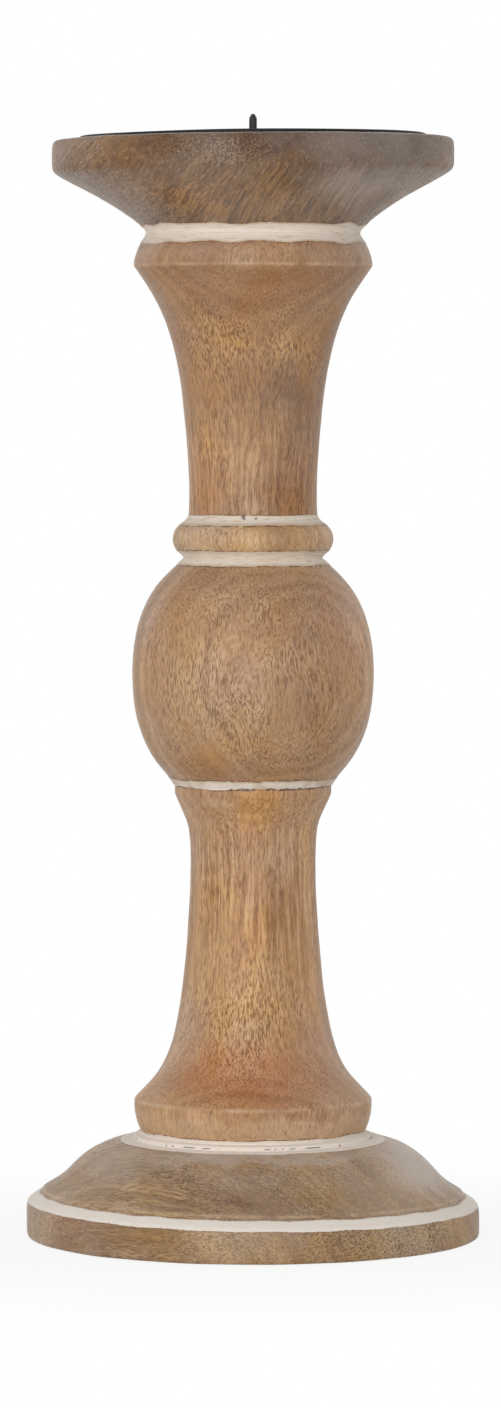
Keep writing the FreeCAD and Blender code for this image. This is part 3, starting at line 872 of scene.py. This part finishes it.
def turned_section(node, turning, steps, shows, bands, marks, swell, bridge):
    """A wooden section spun from its CAD outline, with its paste, sanding waves and marks.

    Swell moves a finished place, and bridge is the height of a seam that the paste fills.
    """
    lump_length = 2.4 * MM
    rubbed_length = 5 * MM
    section = cut_outline(node)
    corners = even_out(section, turning, shows, bands)
    spin(section, steps)
    paste_layer = section.verts.layers.float.new("paste")
    gap_layer = section.verts.layers.float.new("gap")
    # The worn layer holds the pale edges of bare corners: partly wear, partly a painted highlight along
    # the edge.
    wear_and_highlight_layer = section.verts.layers.float.new("worn")
    moved = []
    for vert in section.verts:
        place = vert.co
        if not shows(place):
            continue
        paste = max((band.cover(place) for band in bands), default=0)
        gap = 0
        sunk = 0
        for mark in marks:
            share = mark.share(place)
            gap = max(gap, share)
            sunk = max(sunk, share * mark.depth)
        wave = noise.noise(place / turning.sanding_length) * turning.sanding_depth
        ring = noise.noise(Vector((0, 0, place.z / turning.tool_pitch))) * turning.tool_depth
        lump = 0.75 + noise.noise(place / lump_length) * 0.5
        filled = clamped(paste * 2 - 0.5) * turning.paste_thickness * lump
        here = Vector((radius_of(place), 0, place.z))
        from_corner = min(((here - corner).length for corner in corners), default=1)
        # How pale a bare corner's edge is painted: partly wear, partly a painted highlight.
        wear_and_highlight_unevenness = 0.7 + noise.noise(place / rubbed_length)
        vert[wear_and_highlight_layer] = max(0, 1 - from_corner / turning.wear_and_highlight_width) * wear_and_highlight_unevenness
        vert[paste_layer] = paste
        vert[gap_layer] = gap
        outward = Vector((place.x, place.y, 0)).normalized()
        bridged = max(0, 1 - abs(place.z - bridge) / turning.bridge_width) if bridge else 0
        lift = vert.normal.lerp(outward, bridged) * (wave + ring + filled - sunk)
        moved.append((vert, place + lift + outward * turning.bridge_depth * paste * bridged ** 2))
    for vert, place in moved:
        vert.co = swell(place) if swell else place
    for edge in section.edges:
        edge.smooth = edge.calc_face_angle(0) < turning.crease
    return section


def new_object(name, data):
    """An object of a mesh, lamp or camera, in the scene."""
    piece = bpy.data.objects.new(name, data)
    bpy.context.scene.collection.objects.link(piece)
    return piece


def mesh_object(shape, name, material):
    """The object of a bmesh, which is used up."""
    mesh = bpy.data.meshes.new(name)
    shape.to_mesh(mesh)
    shape.free()
    mesh.materials.append(material)
    return new_object(name, mesh)


def finished_object(section, name, material, body, slot, *nodes):
    """The object of a bmesh: smooth, riding on its body, in place of its CAD nodes."""
    piece = mesh_object(section, name, material)
    piece.data.shade_smooth()
    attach(piece, body)
    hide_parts(*nodes)
    return piece


def shows_between(inner, low, high):
    """A test for places outside a radius, between two seams."""
    def test(place):
        return low - WELD < place.z < high + WELD and radius_of(place) > inner
    return test


def make_wooden(context, name, node, shows, bands, marks, swell=None, bridge=None):
    """Turns one wooden section of the stand and gives it its limewash."""
    turning = context.scene.candle_turning
    steps = turning.wide_steps if node in ("base", "candle_cap") else turning.steps
    section = turned_section(node, turning, steps, shows, bands, marks, swell, bridge)
    finish = name.replace("turned", "limewashed").replace("_", " ")
    material = limewashed_wood(finish, LOOKS[node], PATCHES[node], context.scene.candle_wood)
    finished_object(section, name, material, "stand", "limewashed_wood", node)


def leaning(turning):
    """Leans the cap and the pan off level, and leaves the cap's seat flat."""
    slope = math.tan(turning.cap_lean)
    rise = 14 * MM

    def swell(place):
        share = clamped((place.z - cap_foot) / rise)
        share = share * share * (3 - 2 * share)
        return place + UP * place.x * slope * share
    return swell


def skewed(turning):
    """Leans the base's ledge off level, and leaves its underside and its crown flat."""
    slope = math.tan(turning.ledge_lean)
    rim_rise = 5 * MM
    dome_rise = 14 * MM

    def swell(place):
        share = clamped(place.z / rim_rise) * clamped((crown - place.z) / dome_rise)
        return place - UP * place.x * slope * share * (2 - share)
    return swell


def foot_marks():
    """Cracks and pinholes of the paste along the seam of the foot, as seen, then at random."""
    thin = 0.26 * MM
    pinhole = 0.45 * MM
    seen = (
        (-47, -46, pinhole), (-43, -41, thin), (-37, -27, thin), (-26, -20, thin), (-17.4, -16.4, thin),
        (5, 9, thin), (10, 12, thin), (13, 15, thin), (17, 21, thin), (24, 36, thin),
        (45.8, 47, pinhole), (53.2, 54.4, pinhole),
    )
    dice = random.Random(12)
    unseen = []
    for _ in range(18):
        start = dice.uniform(75, 285)
        unseen.append((start, start + dice.uniform(1, 9), dice.choice((pinhole, thin, thin))))
    radius = foot_radius - 0.1 * MM
    height = crown + 0.5 * MM
    depth = 0.2 * MM
    return [
        Mark(
            (start + end) / 2, radius, height, math.radians(end - start) / 2 * radius, half_width,
            depth,
        )
        for start, end, half_width in seen + tuple(unseen)
    ]


def ball_marks():
    """Dark specks along the seam under the ball, most of them in front on the right."""
    dice = random.Random(7)
    radius = ball_foot_radius - 0.2 * MM
    depth = 0.2 * MM
    marks = []
    for _ in range(46):
        degrees = dice.choice((dice.uniform(-12, 66), dice.uniform(-90, 270)))
        height = ball_foot - dice.uniform(0, 0.5) * MM
        half_length = dice.uniform(0.25, 0.9) * MM
        marks.append(Mark(degrees, radius, height, half_length, dice.uniform(0.3, 0.45) * MM, depth))
    return marks


def seam_marks(radius, seam, rows):
    """Marks from rows of degrees, and in mm the drop below the seam, half sizes and depth."""
    return [
        Mark(degrees, radius, seam - drop * MM, length * MM, width * MM, depth * MM)
        for degrees, drop, length, width, depth in rows
    ]


def neck_marks():
    """The notch and the pinholes of the paste round the neck."""
    return seam_marks(neck_radius, ring_crown, (
        (-8.4, 0, 0.55, 0.6, 0.5), (-7.4, 0.7, 0.4, 0.55, 0.4), (2.5, 0.5, 0.45, 0.5, 0.5),
        (140, 0, 0.6, 0.4, 0.5), (262, 0.4, 0.4, 0.4, 0.5),
    ))


def cap_marks():
    """Pinholes of the paste in the cap's groove."""
    return seam_marks(cap_foot_radius, cap_foot, (
        (-67.4, 0.2, 0.5, 0.4, 0.4), (51.7, 0, 0.6, 0.25, 0.3), (118, 0, 0.5, 0.3, 0.3),
        (205, 0, 0.9, 0.25, 0.3),
    ))


class CANDLE_STAND_OT_base(Operator):
    """Turn the base and glue the felt under it"""

    bl_idname = "candle_stand.base"
    bl_label = "Base and felt"

    def execute(self, context):
        bands = (
            Band(8.9 * MM, 11.35 * MM, wander=0.12 * MM, seed=1),
            Band(crown - 1.2 * MM, crown + MM, wander=0.4 * MM, reach=foot_radius + 3.6 * MM, seed=2),
        )

        def shows(place):
            radius = radius_of(place)
            return radius > base_core and (place.z > MM or radius > felt_edge)

        skew = skewed(context.scene.candle_turning)
        make_wooden(context, "turned_base", "base", shows, bands, foot_marks(), skew)
        self.cut_felt(context.scene.candle_metal)
        return {"FINISHED"}

    def cut_felt(self, metal):
        """A felt disc with a frayed edge and a soft uneven nap."""
        nap_length = 1.1 * MM
        nap_depth = 0.08 * MM
        fray_width = 2 * MM
        felt = cut_outline("felt_disc")
        divide(felt, felt.edges[:], step=1.2 * MM)
        spin(felt, steps=16)
        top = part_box("felt_disc")[1]
        for vert in felt.verts:
            nap = (noise.noise(vert.co / nap_length) - 0.6) * nap_depth
            fray = max(0, radius_of(vert.co) - top.x + fray_width) / fray_width
            vert.co += vert.normal * nap * (1 + fray * 2)
            vert.co.z = min(top.z, max(0, vert.co.z))
        piece = finished_object(
            felt, "felt_pad", wool_felt("wool felt", metal.felt), "stand", "felt", "felt_disc"
        )


class CANDLE_STAND_OT_columns(Operator):
    """Turn the lower and the upper column"""

    bl_idname = "candle_stand.columns"
    bl_label = "Columns"

    def execute(self, context):
        bands = (
            Band(crown - MM, crown + 2.6 * MM, wander=0.2 * MM, seed=3),
            Band(ball_foot - 0.5 * MM, ball_foot + MM, wander=0.25 * MM, worn=0.5, seed=9),
        )
        shows = shows_between(column_core, crown, ball_foot)
        marks = foot_marks() + ball_marks()
        make_wooden(context, "turned_lower_column", "lower_column", shows, bands, marks)
        bands = (
            Band(ring_crown - MM, ring_crown + 0.3 * MM, wander=0.15 * MM, seed=5),
            Band(cap_foot - 2.5 * MM, cap_foot + MM, wander=0.4 * MM, seed=6),
        )
        shows = shows_between(column_core, ring_crown, cap_foot)
        marks = neck_marks() + cap_marks()
        make_wooden(
            context, "turned_upper_column", "upper_column", shows, bands, marks, bridge=cap_foot
        )
        return {"FINISHED"}


class CANDLE_STAND_OT_ball(Operator):
    """Turn the ball and the bead ring"""

    bl_idname = "candle_stand.ball"
    bl_label = "Ball and bead"

    def execute(self, context):
        bands = (
            Band(ball_foot - MM, ball_foot + 2 * MM, wander=0.25 * MM, worn=0.5, seed=9),
            Band(ball_crown - 1.8 * MM, ball_crown + MM, wander=0.2 * MM, seed=7),
        )
        shows = shows_between(ball_core, ball_foot, ball_crown)
        make_wooden(context, "turned_ball", "ball", shows, bands, ball_marks())
        bands = (
            Band(ball_crown - MM, ball_crown + 2.2 * MM, wander=0.1 * MM, seed=7),
            Band(ring_crown - 2.4 * MM, ring_crown + MM, wander=0.14 * MM, seed=5),
        )
        shows = shows_between(ball_core, ball_crown, ring_crown)
        make_wooden(context, "turned_bead_ring", "bead_ring", shows, bands, neck_marks())
        return {"FINISHED"}


class CANDLE_STAND_OT_cap(Operator):
    """Turn the dished cap"""

    bl_idname = "candle_stand.cap"
    bl_label = "Cap"

    def execute(self, context):
        bands = (Band(cap_foot - MM, cap_foot + 2.5 * MM, wander=0.4 * MM, seed=6),)

        def shows(place):
            inside = cap_core if place.z < recess_floor else pan_radius
            return radius_of(place) > inside

        lean = leaning(context.scene.candle_turning)
        make_wooden(context, "turned_cap", "candle_cap", shows, bands, cap_marks(), lean, cap_foot)
        return {"FINISHED"}


class CANDLE_STAND_OT_metal(Operator):
    """Press the drip pan, forge the pricket and finish the hidden screw, washer and dowel"""

    bl_idname = "candle_stand.metal"
    bl_label = "Metal and dowel"

    def execute(self, context):
        metal = context.scene.candle_metal
        self.press_pan(context.scene.candle_turning, metal)
        self.forge_pricket(metal)
        self.finish_hidden(metal)
        return {"FINISHED"}

    def press_pan(self, turning, metal):
        """A thin pan whose rim waves a little, leaning with the cap's recess."""
        wall_radius = pan_radius - 4 * MM
        wall_foot = cap_crown - 2 * MM
        wall_height = 2.5 * MM
        wave_height = 0.12 * MM
        pan = cut_outline("drip_pan")
        divide(pan, pan.edges[:], step=1.5 * MM)
        spin(pan, steps=16)
        lean = leaning(turning)
        for vert in pan.verts:
            angle = math.atan2(vert.co.x, -vert.co.y)
            wave = math.sin(angle * 2 + 0.6) * 0.6 + math.sin(angle * 5 + 2.1) * 0.4
            share = clamped((vert.co.z - wall_foot) / wall_height)
            near_rim = share if radius_of(vert.co) > wall_radius else 0
            vert.co = lean(vert.co) + UP * wave * near_rim * wave_height
        finished_object(
            pan, "pressed_drip_pan",
            painted_steel("black pan", metal.pan, roughness=0.6, chips=0.15), "pan",
            "blackened_pan", "drip_pan",
        )

    def forge_pricket(self, metal):
        """A drawn pin with softened edges."""
        dent_length = 1.3 * MM
        dent_depth = 0.03 * MM
        pin = cut_outline("pricket")
        divide(pin, pin.edges[:], step=0.25 * MM)
        inner = [vert for vert in pin.verts if len(vert.link_edges) == 2]
        smooth(pin, inner, rounds=3, factor=0.4)
        spin(pin, steps=4)
        for vert in pin.verts:
            vert.co += vert.normal * noise.noise(vert.co / dent_length) * dent_depth
        finished_object(
            pin, "forged_pricket",
            painted_steel("black pricket", metal.pricket, roughness=0.45, chips=0.8), "stand",
            "blackened_steel", "pricket",
        )

    def finish_hidden(self, metal):
        """Materials of the CAD pieces that the wood hides."""
        zinc = zinc_plate("zinc plate", metal.zinc)
        finishes = {
            "base_screw": zinc,
            "base_washer": zinc,
            "ball_dowel": plain_beech("plain beech", metal.beech),
        }
        for node, material in finishes.items():
            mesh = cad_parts[node].data
            mesh.materials.clear()
            mesh.materials.append(material)


def seen_directly(tree):
    """1 where the camera or a reflection looks, 0 where light falls on the object."""
    rays = tree.add("ShaderNodeLightPath").outputs
    seen = tree.larger(rays["Is Camera Ray"], rays["Is Glossy Ray"])
    return tree.larger(seen, rays["Is Transmission Ray"])


class CANDLE_STAND_OT_studio(Operator):
    """Set up the white studio: floor, daylight, softboxes and camera"""

    bl_idname = "candle_stand.studio"
    bl_label = "Studio"

    def execute(self, context):
        studio = context.scene.candle_studio
        context.scene.view_settings.view_transform = "Standard"
        self.lay_floor()
        self.light(context, studio)
        self.place_camera(context, studio)
        return {"FINISHED"}

    def lay_floor(self):
        """A white floor that shows the shadow close to the stand and fades into the backdrop."""
        shadow_edge = 0.065
        backdrop_edge = 0.2
        floor = bmesh.new()
        bmesh.ops.create_circle(floor, cap_ends=True, segments=96, radius=4)
        material, tree, shader = new_material("studio floor")
        tree.feed_all(shader, {
            "Base Color": (0.9, 0.9, 0.9, 1), "Roughness": 0.9, "Specular IOR Level": 0,
        })
        away = tree.length(tree.add("ShaderNodeTexCoord").outputs["Object"])
        white = tree.times(seen_directly(tree), tree.ramp(away, shadow_edge, backdrop_edge, 0.88, 1))
        glow = tree.add("ShaderNodeEmission", {"Color": (1, 1, 1, 1), "Strength": 1}).outputs[0]
        shown = tree.add("ShaderNodeMixShader", {0: white, 1: shader.outputs[0], 2: glow}).outputs[0]
        output = next(node for node in tree.tree.nodes if node.type == "OUTPUT_MATERIAL")
        tree.feed(output.inputs["Surface"], shown)
        piece = mesh_object(floor, "studio_floor", material)

    def light(self, context, studio):
        """Even daylight, a large softbox in front and two weak ones behind."""
        world = bpy.data.worlds.new("studio daylight")
        context.scene.world = world
        tree = empty_tree(world)
        strength = tree.ramp(seen_directly(tree), 0, 1, studio.daylight, 1)
        sky = tree.add("ShaderNodeBackground", {"Color": (1, 1, 1, 1), "Strength": strength})
        tree.add("ShaderNodeOutputWorld", {"Surface": sky.outputs[0]})
        self.softbox("key softbox", (-0.45, -1.9, 0.5), 0.85, studio.key)
        self.softbox("left rear softbox", (-1.5, 1.1, 0.6), 0.9, studio.fill)
        self.softbox("right rear softbox", (1.5, 1.1, 0.6), 0.9, studio.fill)

    def softbox(self, name, place, size, power):
        """A square lamp aimed at the middle of the stand."""
        lamp = bpy.data.lights.new(name, "AREA")
        lamp.energy = power
        lamp.size = size
        piece = new_object(name, lamp)
        piece.location = place
        aim = Vector((0, 0, 0.15)) - piece.location
        piece.rotation_euler = aim.to_track_quat("-Z", "Y").to_euler()

    def place_camera(self, context, studio):
        """The photograph's camera: level with the upper column and tilted a little down."""
        lens = bpy.data.cameras.new("photograph")
        camera = new_object("photograph", lens)
        camera.location = (-studio.side, -studio.distance, studio.eye)
        aim = Vector((-studio.side, 0, studio.aim)) - camera.location
        camera.rotation_euler = aim.to_track_quat("-Z", "Y").to_euler()
        lens.lens = lens.sensor_width * aim.length / studio.picture
        context.scene.camera = camera


OPERATORS = (
    CANDLE_STAND_OT_base, CANDLE_STAND_OT_columns, CANDLE_STAND_OT_ball, CANDLE_STAND_OT_cap,
    CANDLE_STAND_OT_metal, CANDLE_STAND_OT_studio,
)
SETTINGS = {
    "candle_turning": CandleStandTurning,
    "candle_wood": CandleStandWood,
    "candle_metal": CandleStandMetal,
    "candle_studio": CandleStandStudio,
}


class CANDLE_STAND_PT_sidebar(Panel):
    """Buttons that make the candle stand piece by piece"""

    bl_idname = "CANDLE_STAND_PT_sidebar"
    bl_label = "Candle Stand"
    bl_space_type = "VIEW_3D"
    bl_region_type = "UI"
    bl_category = "Candle Stand"

    def draw(self, context):
        for name, group in SETTINGS.items():
            settings = getattr(context.scene, name)
            box = self.layout.box()
            for key in group.__annotations__:
                box.prop(settings, key)
        for operator in OPERATORS:
            self.layout.operator(operator.bl_idname)


CLASSES = (*SETTINGS.values(), *OPERATORS, CANDLE_STAND_PT_sidebar)


def register():
    for kind in CLASSES:
        bpy.utils.register_class(kind)
    for name, group in SETTINGS.items():
        setattr(bpy.types.Scene, name, PointerProperty(type=group))


def unregister():
    for name in SETTINGS:
        delattr(bpy.types.Scene, name)
    for kind in reversed(CLASSES):
        bpy.utils.unregister_class(kind)


def main():
    register()
    for make in GROUP_MAKERS:
        make()
    bpy.ops.candle_stand.base()
    bpy.ops.candle_stand.columns()
    bpy.ops.candle_stand.ball()
    bpy.ops.candle_stand.cap()
    bpy.ops.candle_stand.metal()
    bpy.ops.candle_stand.studio()


if __name__ == "__main__":
    main()
